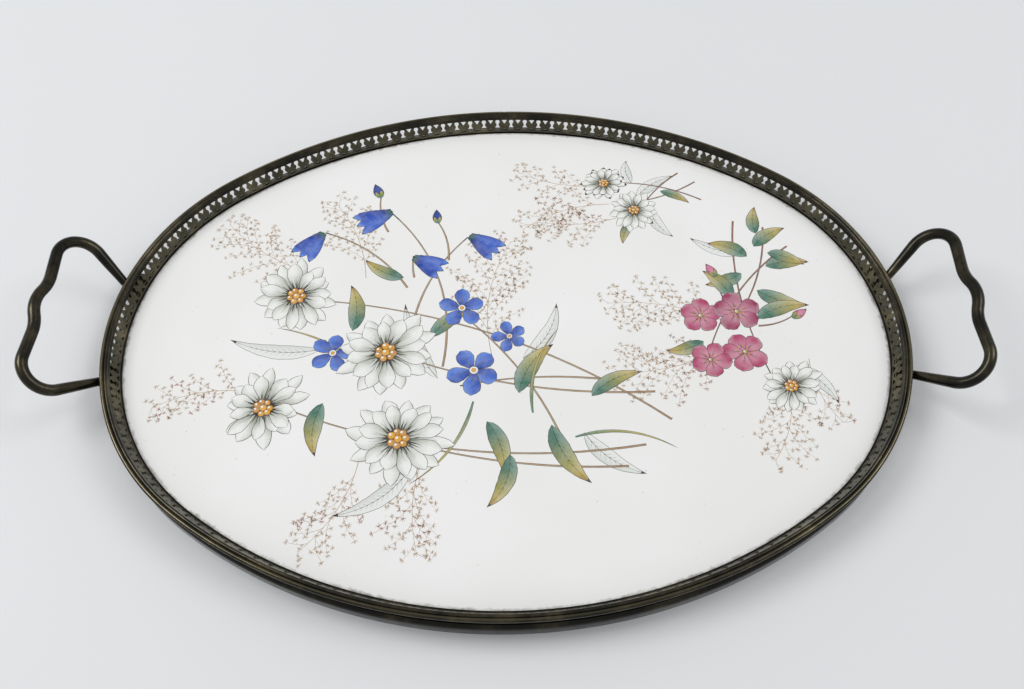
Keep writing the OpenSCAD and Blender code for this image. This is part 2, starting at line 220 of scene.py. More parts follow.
class Oval:
    """A four-centre oval on 3-4-5 triangles, with its sight edge at w = 0."""

    def __init__(self):
        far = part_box("base_moulding")[1]
        half_length, half_width = far.x - sizes().moulding_reach, far.y - sizes().moulding_reach
        unit = (half_length - half_width) / 2
        self.end_centre, side_centre = 3 * unit, 4 * unit
        self.end_radius = half_width - unit
        side_radius = self.end_radius + 5 * unit
        end_half = math.atan2(4, 3)
        side_half = math.pi / 2 - end_half
        # centre, radius, start and turn of each arc, anticlockwise from the right end
        self.arcs = (
            (Vector((self.end_centre, 0, 0)), self.end_radius, -end_half, 2 * end_half),
            (Vector((0, -side_centre, 0)), side_radius, end_half, 2 * side_half),
            (Vector((-self.end_centre, 0, 0)), self.end_radius, math.pi - end_half, 2 * end_half),
            (Vector((0, side_centre, 0)), side_radius, math.pi + end_half, 2 * side_half),
        )

    def chain(self, bm, section):
        """New vertices at the (w, z) points of a section, where the first arc starts."""
        centre, radius, start, _ = self.arcs[0]
        out = Vector((math.cos(start), math.sin(start), 0))
        return [bm.verts.new(centre + out * (radius + w) + Vector((0, 0, z))) for w, z in section]

    def sweep(self, bm, chain, steps=96, closed=True):
        """Spins a chain of vertices, open or closed, through the four arcs."""
        pairs = [(chain[k - 1], chain[k]) for k in range(0 if closed else 1, len(chain))]
        ends = chain + [bm.edges.new(pair) for pair in pairs]
        for centre, _, _, turn in self.arcs:
            ends = turn_on(bm, ends, centre, (0, 0, 1), turn, steps)
        close_up(bm)


def arc(middle_w, middle_z, radius, start, end, count):
    """Points (w, z) of an arc, with its angles in degrees."""
    turns = (math.radians(start + (end - start) * k / count) for k in range(count + 1))
    return [(middle_w + radius * math.cos(a), middle_z + radius * math.sin(a)) for a in turns]


# ---- finishes


def blend(first, second, share):
    """A colour between two others."""
    share = min(1, max(0, share))
    return tuple(a + (b - a) * share for a, b in zip(first, second))


def times(tint, share):
    """A colour made darker or lighter."""
    return [min(1, share * c) for c in tint]


def opaque(tint):
    """A colour or a grey, as red, green, blue and alpha."""
    return (*((tint,) * 3 if isinstance(tint, (int, float)) else tuple(tint)[:3]), 1)


class Finish:
    """A node tree being built, with short calls for the nodes that finishes use."""

    def __init__(self, name):
        self.material = bpy.data.materials.new(name)
        self.material.use_nodes = True
        self.tree = self.material.node_tree
        self.place = self.add("ShaderNodeTexCoord").outputs["Object"]

    def feed(self, socket, value):
        """Links a socket to another, or sets it to a number or a colour."""
        if isinstance(value, bpy.types.NodeSocket):
            self.tree.links.new(value, socket)
        else:
            socket.default_value = value if isinstance(value, (int, float)) else opaque(value)

    def add(self, kind, feeds=None, **facts):
        """Adds a node: facts are its own settings, feeds are for its sockets."""
        node = self.tree.nodes.new(kind)
        for name, value in facts.items():
            setattr(node, name, value)
        for socket, value in (feeds or {}).items():
            self.feed(node.inputs[socket], value)
        return node

    def noise(self, scale, detail, rough, stretch=None):
        """Noise on the object's own coordinates."""
        place = self.place
        if stretch:
            mapping = self.add("ShaderNodeMapping", {"Vector": place})
            mapping.inputs["Scale"].default_value = stretch
            place = mapping.outputs["Vector"]
        feeds = {"Vector": place, "Scale": scale, "Detail": detail, "Roughness": rough}
        return self.add("ShaderNodeTexNoise", feeds).outputs["Fac"]

    def attribute(self, name, output):
        """A value or colour that the mesh carries."""
        return self.add("ShaderNodeAttribute", attribute_name=name).outputs[output]

    def ramp(self, source, *stops):
        """A colour ramp; each stop is a position and a colour or grey."""
        node = self.add("ShaderNodeValToRGB", {"Fac": source})
        elements = node.color_ramp.elements
        while len(elements) < len(stops):
            elements.new(0.5)
        for element, (position, tint) in zip(elements, stops):
            element.position = position
            element.color = opaque(tint)
        return node.outputs["Color"]

    def mix(self, share, first, second, blend="MIX"):
        """Mixes two colours."""
        feeds = {0: share, 6: first, 7: second}
        return self.add("ShaderNodeMix", feeds, data_type="RGBA", blend_type=blend).outputs[2]

    def sums(self, operation, first, second):
        """One step of arithmetic."""
        return self.add("ShaderNodeMath", {0: first, 1: second}, operation=operation).outputs[0]

    def span(self, source, low, high, to_low=0.0, to_high=1.0):
        """Maps a value from one range to another, and holds it there."""
        feeds = {"Value": source, "From Min": low, "From Max": high, "To Min": to_low, "To Max": to_high}
        return self.add("ShaderNodeMapRange", feeds).outputs["Result"]

    def bump(self, height, distance, strength, under=None):
        """A bump over the surface or over another bump."""
        feeds = {"Height": height, "Distance": distance, "Strength": strength}
        if under:
            feeds["Normal"] = under
        return self.add("ShaderNodeBump", feeds).outputs["Normal"]

    def done(self, **values):
        """Sets or links sockets of the shader, with _ for a space, and returns the material."""
        for name, value in values.items():
            self.feed(self.tree.nodes["Principled BSDF"].inputs[name.replace("_", " ")], value)
        return self.material


def tarnished_brass(name, tarnish_and_light, wear_low, wear_high, grain=1.0, polish=0.0, crest=None):
    """Brass with a dark olive skin under old lacquer, clouded, pitted and worn bright in places, with a
    painted highlight along a crest.

    The second argument multiplies the skin's colours, for a darker tarnish and for painted light and shade:
    lighter on the gallery, darker on the other pieces. Polish is taken off the roughness. Crest is the height
    of the bead's top, which gets a painted highlight, partly real wear, stronger towards the back.
    """
    f = Finish(name)
    # The second argument scales these colours: darker tarnish, and painted light or shade for each piece as a
    # whole.
    tarnish, bronze = times(colours().tarnish, tarnish_and_light), times(colours().bronze, tarnish_and_light)
    blotch = f.noise(170, 6, 0.68)
    cloud = f.noise(34, 4, 0.6)
    fine = f.noise(1500, 3, 0.6)
    specks = f.noise(620, 2, 0.5)
    skin = f.ramp(blotch, (0.30, blend(tarnish, bronze, 0.2)), (0.66, bronze))
    skin = f.mix(f.span(cloud, 0.38, 0.66, 0.0, 0.5), skin, tarnish)
    skin = f.mix(f.span(specks, 0.60, 0.70, 0.0, 0.5), skin, times(tarnish, 0.5))
    worn = f.span(f.noise(52, 4, 0.6), wear_low, wear_high)
    worn = f.sums("MULTIPLY", worn, f.span(blotch, 0.36, 0.64, 0.25, 1.0))
    skin = f.mix(worn, skin, times(colours().rubbed_and_highlight, tarnish_and_light ** 0.6))
    if crest is not None:
        # Painted highlight along the crest of the outer bead, partly real wear; the Y term makes it stronger
        # towards the back, where the light catches it, and weaker at the front.
        place = f.add("ShaderNodeSeparateXYZ", {"Vector": f.place}).outputs
        crest_highlight_and_wear = f.span(place["Z"], crest - 0.12 * MM, crest - 0.02 * MM)
        crest_highlight_and_wear = f.sums("MULTIPLY", crest_highlight_and_wear, f.span(place["Y"], -0.10, 0.03, 0.25, 0.9))
        crest_highlight_and_wear = f.sums("MULTIPLY", crest_highlight_and_wear, f.span(cloud, 0.34, 0.60, 0.4, 1.0))
        skin = f.mix(crest_highlight_and_wear, skin, colours().rubbed_and_highlight)
    skin = f.mix(0.3, skin, f.ramp(fine, (0.3, 0.6), (0.7, 1.0)), "MULTIPLY")
    rough = f.span(blotch, 0.3, 0.7, 0.42 - polish, 0.30 - polish)
    rough = f.sums("SUBTRACT", rough, f.sums("MULTIPLY", worn, 0.08))
    dents = f.bump(f.noise(210, 3, 0.5), 0.10 * MM, 0.3 * grain)
    pits = f.bump(fine, 0.03 * MM, 0.4 * grain, dents)
    return f.done(Base_Color=skin, Metallic=0.9, Roughness=rough, Normal=pits, Coat_Weight=0.2,
                  Coat_Roughness=0.2)


def glazed_white():
    """White glaze: a clear skin over a faintly uneven body, with grime along the lip."""
    f = Finish("glazed_white")
    glaze = colours().glaze
    cloud = f.noise(14, 3, 0.5)
    body = f.mix(f.span(cloud, 0.35, 0.65), glaze, [*times(glaze[:2], 0.965), 0.955 * glaze[2]])
    specks = f.span(f.noise(520, 1, 0.4), 0.775, 0.80, 0.0, 0.35)
    body = f.mix(specks, body, (0.42, 0.33, 0.24))
    ragged = f.span(f.noise(260, 4, 0.65), 0.3, 0.7, -0.75 * MM, 0.75 * MM)
    ragged = f.sums("ADD", f.attribute("from_edge", "Fac"), ragged)
    dirt = f.span(ragged, 0.0, 1.3 * MM, 0.75, 0.0)
    dirt = f.sums("MULTIPLY", dirt, f.span(f.noise(70, 3, 0.6), 0.3, 0.6, 0.25, 1.0))
    body = f.mix(dirt, body, colours().grime)
    skin = f.bump(f.noise(34, 2, 0.4), 0.4 * MM, 0.10)
    return f.done(Base_Color=body, Roughness=f.span(cloud, 0.3, 0.7, 0.10, 0.16), Normal=skin, IOR=1.5)


def printed_colour():
    """Transfer print under the glaze: its painted colour, mottled as ink on a glaze is."""
    f = Finish("printed_colour")
    wash = f.span(f.noise(260, 3, 0.55), 0.35, 0.68, 0.0, 0.12)
    pale = f.mix(wash, f.attribute("ink", "Color"), colours().glaze)
    body = f.mix(0.4, pale, f.ramp(f.noise(1500, 3, 0.6), (0.32, 0.80), (0.62, 1.0)), "MULTIPLY")
    return f.done(Base_Color=body, Roughness=0.13, IOR=1.5)


def backing_wood():
    """Thin wooden board, long grain along X."""
    f = Finish("backing_wood")
    tint = colours().board
    grain = f.noise(60, 6, 0.65, stretch=(0.12, 2.4, 1.0))
    pores = f.noise(420, 3, 0.6, stretch=(0.06, 2.0, 1.0))
    body = f.ramp(grain, (0.32, times(tint, 0.45)), (0.52, tint), (0.72, times(tint, 1.5)))
    body = f.mix(f.span(pores, 0.55, 0.75, 0.0, 0.5), body, times(tint, 0.3))
    rough = f.span(grain, 0.3, 0.7, 0.62, 0.82)
    return f.done(Base_Color=body, Roughness=rough, Normal=f.bump(pores, 0.1 * MM, 0.4))


def pale_floor():
    """Plain pale floor."""
    f = Finish("pale_floor")
    tint = colours().floor
    body = f.mix(f.span(f.noise(3, 3, 0.5), 0.3, 0.7), tint, times(tint, 0.985))
    return f.done(Base_Color=body, Roughness=0.65, Normal=f.bump(f.noise(900, 3, 0.6), 0.03 * MM, 0.2))


# ---- plaque and mount

PLAQUE_RINGS = (-60, -30, -12, -6, -3, -1.6, -0.9, -0.4, 0, 0.4)  # mm from the sight edge


def build_plaque():
    """The plaque: rings of faces from its flat middle out to its edge, which the lip covers."""
    s = sizes()
    low, high = foot_of("plaque"), top_of("plaque")
    soft = s.plaque_round
    section = [(w * MM, high) for w in PLAQUE_RINGS]
    section += arc(s.plaque_tuck - soft, high - soft, soft, 90, 0, 5)
    section += arc(s.plaque_tuck - soft, low + soft, soft, 0, -90, 5)
    section += [(PLAQUE_RINGS[2] * MM, low), (PLAQUE_RINGS[0] * MM, low)]
    bm = bmesh.new()
    from_edge = bm.verts.layers.float.new("from_edge")
    oval = Oval()
    chain = oval.chain(bm, section)
    for vert, (w, z) in zip(chain, section):  # the sides and the underside are far from the grime
        vert[from_edge] = max(0, -w) if z == high else 10 * MM
    oval.sweep(bm, chain, 64, closed=False)
    sharpen(bm)
    hand_over(bm, "white_plaque", glazed_white(), "glazed_earthenware", "plaque")


def soften(section, radius):
    """Rounds each sharp corner of a closed section with three points."""
    rounded = []
    for k, corner in enumerate(section):
        here = Vector(corner)
        before, after = Vector(section[k - 1]) - here, Vector(section[(k + 1) % len(section)]) - here
        points = [here]
        if before.angle(after) <= math.radians(150):
            reach = min(radius, 0.4 * before.length, 0.4 * after.length)
            first, last = here + before.normalized() * reach, here + after.normalized() * reach
            points = [first, (first + last + 2 * here) / 4, last]
        rounded += [tuple(point) for point in points]
    return rounded


def build_moulding():
    """The base moulding: foot, quarter round, shoulder, lip and the wall round the plaque's pocket."""
    s = sizes()
    plaque_top, lip_top, board_foot = top_of("plaque"), top_of("base_moulding"), foot_of("backing_board")
    pocket = s.plaque_tuck + s.pocket_gap
    wall = pocket + s.sheet
    under_shoulder = lip_top - 1.4 * s.sheet
    round_w = s.moulding_reach - s.quarter_round
    section = [(s.moulding_reach - s.sheet, 0), (s.moulding_reach, 0)]
    section += arc(round_w, s.foot_height, s.quarter_round, 0, 90, 8)
    section += [(wall, lip_top), (0, lip_top), (0, plaque_top), (pocket, plaque_top), (pocket, board_foot),
                (wall, board_foot), (wall, under_shoulder)]
    section += arc(round_w, s.foot_height, s.quarter_round - s.sheet, 90, 0, 6)
    bm = bmesh.new()
    oval = Oval()
    oval.sweep(bm, oval.chain(bm, soften(section, s.soft_edge)))
    sharpen(bm)
    # The 0.16 darkens the moulding's brass: darker tarnish and painted shade on the low moulding.
    brass = tarnished_brass("moulding_brass", 0.16, 0.52, 0.80, polish=0.14)
    hand_over(bm, "dressed_moulding", brass, "tarnished_brass", "base_moulding")


def lean_w(z, gap=0.0):
    """Distance from the sight edge of the inner face of the gallery at a height, less a gap."""
    return sizes().gallery_set - gap + (z - top_of("base_moulding")) * math.tan(sizes().gallery_lean)


def across():
    """Level thickness of the leaning gallery."""
    return sizes().gallery_thick / math.cos(sizes().gallery_lean)


def build_gallery():
    """The pierced gallery: one pierced tile, repeated round the four arcs of the leaning wall."""
    s = sizes()
    lip_top, gallery_top = top_of("base_moulding"), top_of("pierced_gallery")
    up, out = math.cos(s.gallery_lean), math.sin(s.gallery_lean)
    full = (gallery_top - lip_top) / up
    slope = (gallery_top - s.rim_channel - lip_top) / up
    middle = s.gallery_set + across() / 2
    bm = bmesh.new()
    for centre, radius, start, turn in Oval().arcs:
        count = round(turn * (radius + middle) / s.motif_pitch)
        pitch = turn * (radius + middle) / count
        tile = pierced_tile(pitch, slope, full, s.gallery_thick)
        for k in range(count):
            known = len(bm.verts)
            bm.from_mesh(tile)
            bm.verts.ensure_lookup_table()
            for vert in bm.verts[known:]:
                u, v, t = vert.co
                a = start + (k + 0.5) * turn / count + u / (radius + middle)
                w = middle + v * out + t * up
                z = lip_top + v * up - t * out
                vert.co = centre + Vector(((radius + w) * math.cos(a), (radius + w) * math.sin(a), z))
        bpy.data.meshes.remove(tile)
    bmesh.ops.remove_doubles(bm, verts=bm.verts, dist=0.4 * WELD)
    bmesh.ops.recalc_face_normals(bm, faces=bm.faces)
    # The 1.5 lightens the gallery's brass: painted light on the leaning gallery.
    brass = tarnished_brass("gallery_brass", 1.5, 0.52, 0.82)
    hand_over(bm, "leaning_gallery", brass, "tarnished_brass", "pierced_gallery")


TILE_EDGE = 0.07 * MM  # bevel round the openings
SHARP = 1.2  # angle of an edge to bevel, in radians
SAME = 1e-7  # metres within which two places are one


def mirrored(points):
    """Points and their mirror images, as one way round."""
    return points + [(-u, v) for u, v in reversed(points)]


def pierced_tile(pitch, slope, full, thick):
    """One flat motif of the gallery: u along the wall, v up its slope, t through it.

    Its corners are shares of the pitch and of the slope. Half triangles stand at its sides.
    """
    outline = mirrored([(0.5, 0), (0.5, 0.05), (0.28, 0.05), (0.5, 0.30), (0.5, 0.62), (0.27, 0.97),
                        (0.5, 0.97), (0.5, full / slope)])
    keyhole = mirrored([(0.20, 0.32), (0.07, 0.50), (0.08, 0.62), (0.17, 0.76), (0.10, 0.93)])
    moon = mirrored([(-0.18, 0.25), (-0.108, 0.13)])
    bm = bmesh.new()
    for loop in (outline, keyhole, moon):
        ring = [bm.verts.new((u * pitch, v * slope, -thick / 2)) for u, v in loop]
        for k in range(len(ring)):
            bm.edges.new((ring[k - 1], ring[k]))
    bmesh.ops.triangle_fill(bm, edges=bm.edges, use_beauty=True)
    extruded = bmesh.ops.extrude_face_region(bm, geom=bm.faces[:], use_keep_orig=True)["geom"]
    bmesh.ops.translate(bm, verts=verts_in(extruded), vec=(0, 0, thick))
    joints = [face for face in bm.faces
              if all(abs(abs(vert.co.x) - pitch / 2) < SAME for vert in face.verts)]
    bmesh.ops.delete(bm, geom=joints, context="FACES_ONLY")
    bmesh.ops.recalc_face_normals(bm, faces=bm.faces)

    def is_corner(edge):
        first, last = (vert.co.z for vert in edge.verts)
        level = abs(first) > 0.4 * thick and abs(first - last) < SAME
        return level and edge.is_manifold and edge.calc_face_angle(0) > SHARP

    corners = [edge for edge in bm.edges if is_corner(edge)]
    bmesh.ops.bevel(bm, geom=corners, offset=TILE_EDGE, offset_type="OFFSET", segments=1, profile=0.5,
                    affect="EDGES", material=-1, clamp_overlap=True)
    return mesh_of(bm, "tile")


def cheek_meets_bead(gap, middle_w, middle_z, radius):
    """The angle, in degrees, at which the side of a cheek runs into the lower half of a bead."""

    def miss(degrees):
        a = math.radians(degrees)
        return abs(middle_w + radius * math.cos(a) - lean_w(middle_z + radius * math.sin(a), gap))

    return min((180 + k / 4 for k in range(1, 720)), key=miss)


CHANNEL_GAP = 0.05 * MM  # between the rim and each side of the gallery
SEAM_CUTS = (-0.30, -0.25, 0.25, 0.30)  # mm from the middle, the edges of the seam's two sides
SEAM_HALF = 0.26 * MM  # just past its floor
SEAM_DEPTH = 0.35 * MM


def build_rim():
    """The rim: two soft-soldered beads over a channel that takes the top of the gallery."""
    s = sizes()
    channel_top = top_of("pierced_gallery")
    foot = channel_top - s.rim_channel
    bead_z = channel_top + s.bead_rise
    inner_w = lean_w(channel_top) + across() / 2
    inner_r, outer_r = s.inner_bead / 2, s.outer_bead / 2
    apart = inner_r + outer_r - s.bead_overlap
    outer_w = inner_w + apart
    share = (apart ** 2 + inner_r ** 2 - outer_r ** 2) / (2 * apart)
    valley_in = math.degrees(math.acos(share / inner_r))
    valley_out = 180 - math.degrees(math.acos((apart - share) / outer_r))
    left = cheek_meets_bead(s.rim_cheek, inner_w, bead_z, inner_r)
    right = cheek_meets_bead(-across() - s.rim_cheek, outer_w, bead_z, outer_r)
    far_side = -across() - CHANNEL_GAP
    section = [(lean_w(foot, s.rim_cheek), foot)]
    section += arc(inner_w, bead_z, inner_r, left, valley_in, 16)
    section += arc(outer_w, bead_z, outer_r, valley_out, right - 360, 22)
    section += [(lean_w(z, side), z) for side, z in (
        (-across() - s.rim_cheek, foot), (far_side, foot), (far_side, channel_top), (CHANNEL_GAP, channel_top),
        (CHANNEL_GAP, foot))]
    bm = bmesh.new()
    oval = Oval()
    oval.sweep(bm, oval.chain(bm, section))
    cut_seam(bm, bead_z)
    sharpen(bm, 40)
    # The 0.28 darkens the rim's brass: darker tarnish and painted shade. Its crest gets a painted highlight,
    # partly real wear.
    brass = tarnished_brass("rim_brass", 0.28, 0.42, 0.72, polish=0.14, crest=bead_z + outer_r)
    hand_over(bm, "beaded_rim", brass, "tarnished_brass", "rim")


def cut_seam(bm, above):
    """Sinks a narrow groove across the beads at the middle of the back."""

    def is_near(item, reach=20 * MM):
        verts = [item] if isinstance(item, bmesh.types.BMVert) else item.verts
        return all(vert.co.y > 0 and abs(vert.co.x) < reach for vert in verts)

    for x in SEAM_CUTS:
        near = [item for item in bm.verts[:] + bm.edges[:] + bm.faces[:] if is_near(item)]
        bmesh.ops.bisect_plane(bm, geom=near, plane_co=(x * MM, 0, 0), plane_no=(1, 0, 0), dist=SAME)
    groove = [vert for vert in bm.verts if is_near(vert, SEAM_HALF) and vert.co.z > above]
    bmesh.ops.translate(bm, verts=groove, vec=(0, 0, -SEAM_DEPTH))
    bmesh.ops.recalc_face_normals(bm, faces=bm.faces)


# ---- handles

UNEVEN = 0.12 * MM  # most that the rod's surface wanders
UNEVEN_SCALE = 90


def run_on(bm, ends, way, steps, shrink=1.0):
    """Extrudes the open end of a tube along a way, in steps, and may taper it."""
    step = Vector(way) / steps
    for k in range(steps):
        verts = verts_in(ends)
        centre = sum((vert.co for vert in verts), Vector()) / len(verts) + step
        made = bmesh.ops.extrude_edge_only(bm, edges=edges_in(ends))["geom"]
        verts = verts_in(made)
        ends = verts + [edge for edge in edges_in(made) if all(vert in verts for vert in edge.verts)]
        bmesh.ops.translate(bm, verts=verts, vec=step)
        if shrink != 1:
            now = (1 + (shrink - 1) * (k + 1) / steps) / (1 + (shrink - 1) * k / steps)
            bmesh.ops.scale(bm, verts=verts, vec=(now, now, now), space=Matrix.Translation(-centre))
    return ends


def handle_tube(name, material, swing, side, node):
    """One handle: a tapering rod with a swell, hollows and rounded corners, bent into its sockets."""
    s = sizes()
    oval = Oval()
    lip_top = top_of("base_moulding")
    foot_z = (lip_top + top_of("pierced_gallery") - s.rim_channel) / 2
    outer_face = s.gallery_set + across() + (foot_z - lip_top) * math.tan(s.gallery_lean)
    socket_out = outer_face + s.plate_thick / math.cos(s.gallery_lean) + s.tube_length
    bend_out = socket_out + s.bend_radius * math.tan(s.bend_room)
    rod_end_w = outer_face + (s.rod_end / 2 + s.bore_gap) * math.tan(s.gallery_lean) + s.rod_end_gap
    foot_v = (oval.end_radius + bend_out) * math.sin(s.foot_angle)
    foot_x = oval.end_centre + (oval.end_radius + bend_out) * math.cos(s.foot_angle)
    corner_u = s.corner_reach - s.corner_radius
    away = math.hypot(corner_u, s.corner_side - foot_v)
    leg = math.sqrt(away ** 2 - s.corner_radius ** 2)
    heading = math.atan2(s.corner_side - foot_v, corner_u) + math.asin(s.corner_radius / away)
    hollow_u = s.corner_reach - s.hollow_depth
    swell_half = 2 * math.atan(s.swell_rise / s.hollow_side)
    hollow_radius = s.hollow_side / math.sin(swell_half) - s.swell_radius
    swell_u = hollow_u + s.swell_rise - s.swell_radius
    round_sum = hollow_radius + s.corner_radius
    gap_u, gap_v = round_sum - s.hollow_depth, s.corner_side - s.hollow_side
    link = math.sqrt(gap_u ** 2 + gap_v ** 2 - round_sum ** 2)
    link_turn = math.atan2(gap_v, gap_u) - math.atan2(link, round_sum)
    up = (0, 0, 1)
    out_way = Vector((math.cos(s.foot_angle), math.sin(s.foot_angle), 0))
    flat_way = Vector((math.cos(heading), math.sin(heading), 0))
    tilt = Matrix.Rotation(-s.handle_tilt, 4, "Y")
    leg_way = tilt @ flat_way
    bend_turn = out_way.angle(leg_way)
    tangent = s.bend_radius * math.tan(bend_turn / 2)

    bm = bmesh.new()
    begin = Matrix.Translation((swell_u + s.swell_radius, 0, 0)) @ Matrix.Rotation(math.pi / 2, 4, "X")
    ring = bmesh.ops.create_circle(bm, cap_ends=False, segments=28, radius=s.rod / 2, matrix=begin)["verts"]
    ends = ring + list({edge for vert in ring for edge in vert.link_edges})
    ends = turn_on(bm, ends, (swell_u, 0, 0), up, swell_half, 10)
    ends = turn_on(bm, ends, (hollow_u + hollow_radius, s.hollow_side, 0), up, -(swell_half + link_turn), 12)
    ends = run_on(bm, ends, link * Vector((math.sin(link_turn), math.cos(link_turn), 0)), 3)
    ends = turn_on(bm, ends, (corner_u, s.corner_side, 0), up, math.pi / 2 + heading + link_turn, 26)
    ends = run_on(bm, ends, -(leg - tangent) * flat_way, 12, s.rod_end / s.rod)
    foot = Vector((foot_x, foot_v, foot_z))
    bmesh.ops.transform(bm, matrix=Matrix.Translation((foot_x, 0, foot_z)) @ tilt, verts=bm.verts)
    centre = foot + (leg_way - out_way).normalized() * s.bend_radius / math.cos(bend_turn / 2)
    ends = turn_on(bm, ends, centre, leg_way.cross(out_way).normalized(), bend_turn, 14)
    run_on(bm, ends, -(bend_out - tangent - rod_end_w) * out_way, 2)
    everything = bm.verts[:] + bm.edges[:] + bm.faces[:]
    bmesh.ops.mirror(bm, geom=everything, matrix=Matrix(), merge_dist=0.1 * WELD, axis="Y")
    close_up(bm)
    for vert in bm.verts:  # the rod is a little uneven, outside its sockets
        if vert.co.x > foot_x + 4 * MM:
            vert.co += vert.normal * UNEVEN * noise.noise(vert.co * UNEVEN_SCALE + Vector((side * 7, 0, 0)))
    swung = (Matrix.Rotation(0 if side > 0 else math.pi, 4, "Z") @ Matrix.Translation((oval.end_centre, 0, 0))
             @ Matrix.Rotation(swing, 4, "Z") @ Matrix.Translation((-oval.end_centre, 0, 0)))
    bmesh.ops.transform(bm, matrix=swung, verts=bm.verts)
    sharpen(bm, 40)
    hand_over(bm, name, material, "tarnished_brass", node)


def build_handles():
    """Both handles."""
    # The 0.19 darkens the handles' brass: darker tarnish and painted shade.
    rod = tarnished_brass("handle_brass", 0.19, 0.42, 0.70, grain=1.3, polish=0.08)
    handle_tube("left_rod", rod, -sizes().left_swing, -1, "left_handle")
    handle_tube("right_rod", rod, sizes().right_swing, 1, "right_handle")


def build_fittings():
    """Finishes for the sockets, the lugs and the backing board."""
    # The 0.26 darkens the sockets' brass: darker tarnish and painted shade.
    brass = tarnished_brass("socket_brass", 0.26, 0.50, 0.82)
    for node in ("left_front_socket", "left_back_socket", "right_front_socket", "right_back_socket",
                 "board_lugs"):
        dress(node, brass)
    dress("backing_board", backing_wood())


# ---- print


def hue(red, green, blue):
    """A colour from its display values, 0 to 255."""
    shares = (c / 255 for c in (red, green, blue))
    return tuple(c / 12.92 if c < 0.0404 else ((c + 0.055) / 1.055) ** 2.4 for c in shares)


WHITE = hue(236, 237, 233)
MIST = hue(196, 202, 196)
SHADE = hue(132, 140, 118)
DARK = hue(44, 34, 24)
GOLD = hue(220, 164, 52)
AMBER = hue(150, 86, 24)
BLUE = hue(44, 82, 184)
SKY = hue(104, 144, 222)
NAVY = hue(22, 28, 86)
PINK = hue(172, 54, 100)
ROSE = hue(150, 40, 86)
BLUSH = hue(222, 158, 180)
WINE = hue(104, 22, 54)
TEAL = hue(58, 118, 98)
OLIVE = hue(190, 172, 80)
RUST = hue(146, 74, 32)
STALK = hue(168, 138, 96)
TWIG = hue(140, 84, 50)

PAGE_FULL = 500  # vertices in one page of strokes
STEP = 0.002 * MM  # height of one layer of ink
LINE_UP = 0.5  # height of a fine line over its stroke, in layers


def along(spine, t):
    """A point and a direction on a cubic curve of four points."""
    p, q, r, s = spine
    k = 1 - t
    point = k * k * k * p + 3 * k * k * t * q + 3 * k * t * t * r + t * t * t * s
    way = 3 * k * k * (q - p) + 6 * k * t * (r - q) + 3 * t * t * (s - r)
    return point, way


def bearing(way):
    """The heading of a direction, in degrees."""
    return math.degrees(math.atan2(way.y, way.x))


def heading_way(heading):
    """The direction of a heading in degrees."""
    return Vector((math.cos(math.radians(heading)), math.sin(math.radians(heading))))


def off(start, heading, reach):
    """The place that lies at a heading and a distance from another."""
    return Vector(start) + heading_way(heading) * reach


def ray(start, heading, reach, bow=0.0):
    """A cubic from a start, along a heading in degrees."""
    return curve(start, off(start, heading, reach), bow)


def curve(start, end, bow):
    """A cubic from start to end, in millimetres, that bows to its left by a share of its length."""
    start, end = Vector(start), Vector(end)
    chord = end - start
    left = chord.orthogonal() * bow
    return [start, start + chord * 0.33 + left, start + chord * 0.67 + left, end]


def round_petal(t):
    """Half width of a round-tipped petal, as a share of its greatest."""
    return math.sin(math.pi * min(1, t) ** 1.35) ** 0.62 * (0.35 + 0.65 * t ** 0.4)


def long_petal(t):
    """Half width of a petal that is widest near its tip."""
    return math.sin(math.pi * t ** 1.7) ** 0.75 * 0.88 + 0.14 * math.sin(math.pi * t)


def lance(t):
    """Half width of a pointed leaf."""
    return math.sin(math.pi * t ** 0.75) ** 0.9


